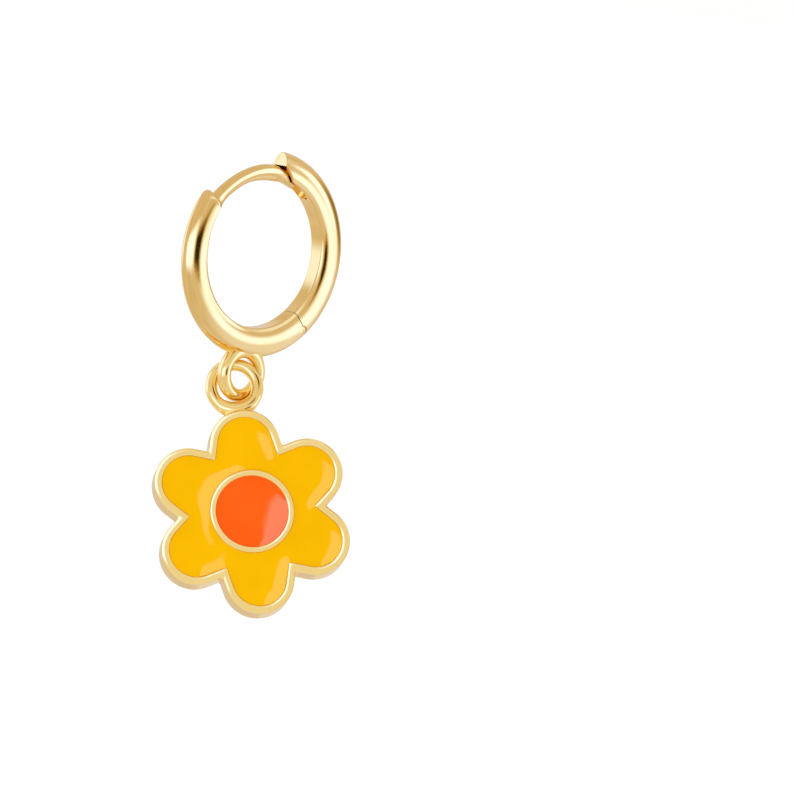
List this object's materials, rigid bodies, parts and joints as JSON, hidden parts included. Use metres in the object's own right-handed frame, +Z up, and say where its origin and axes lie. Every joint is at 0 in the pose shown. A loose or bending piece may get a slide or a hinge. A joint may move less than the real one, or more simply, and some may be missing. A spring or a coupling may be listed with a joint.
{
  "type": "flower earring",
  "caption": "Hinged hoop earring with a curved ear post, and an enamelled flower that hangs from a loop under the hoop.",
  "frame": {"origin": "centre line of the ear post's wire at the top of the hoop, where it hangs in the ear", "axes": "+Z up, +X across the hoop from the front arc towards the clasp arm, +Y along the hoop's axis and away from the viewer"},
  "size_m": [0.0132, 0.01, 0.0292],
  "materials": {
    "metal": "polished gold plating",
    "yellow_enamel": "glossy",
    "orange_enamel": "glossy"
  },
  "bodies": {
    "hoop": {"hoop_front": "metal", "hinge_pin": "metal"},
    "clasp_arm": {"hoop_back": "metal"},
    "flower": {"flower_frame": "metal", "petal_enamel": "yellow_enamel", "centre_enamel": "orange_enamel"}
  },
  "joints": [
    {"name": "clasp_hinge", "type": "hinge", "parent": "hoop", "child": "clasp_arm", "pos_m": [0.00408, 0, -0.00998], "axis": [0, 1, 0], "range_deg": [0, 45]},
    {"name": "flower_swing", "type": "hinge", "parent": "hoop", "child": "flower", "pos_m": [0, 0, -0.0129], "axis": [0, 1, 0], "range_deg": [-75, 75]}
  ]
}
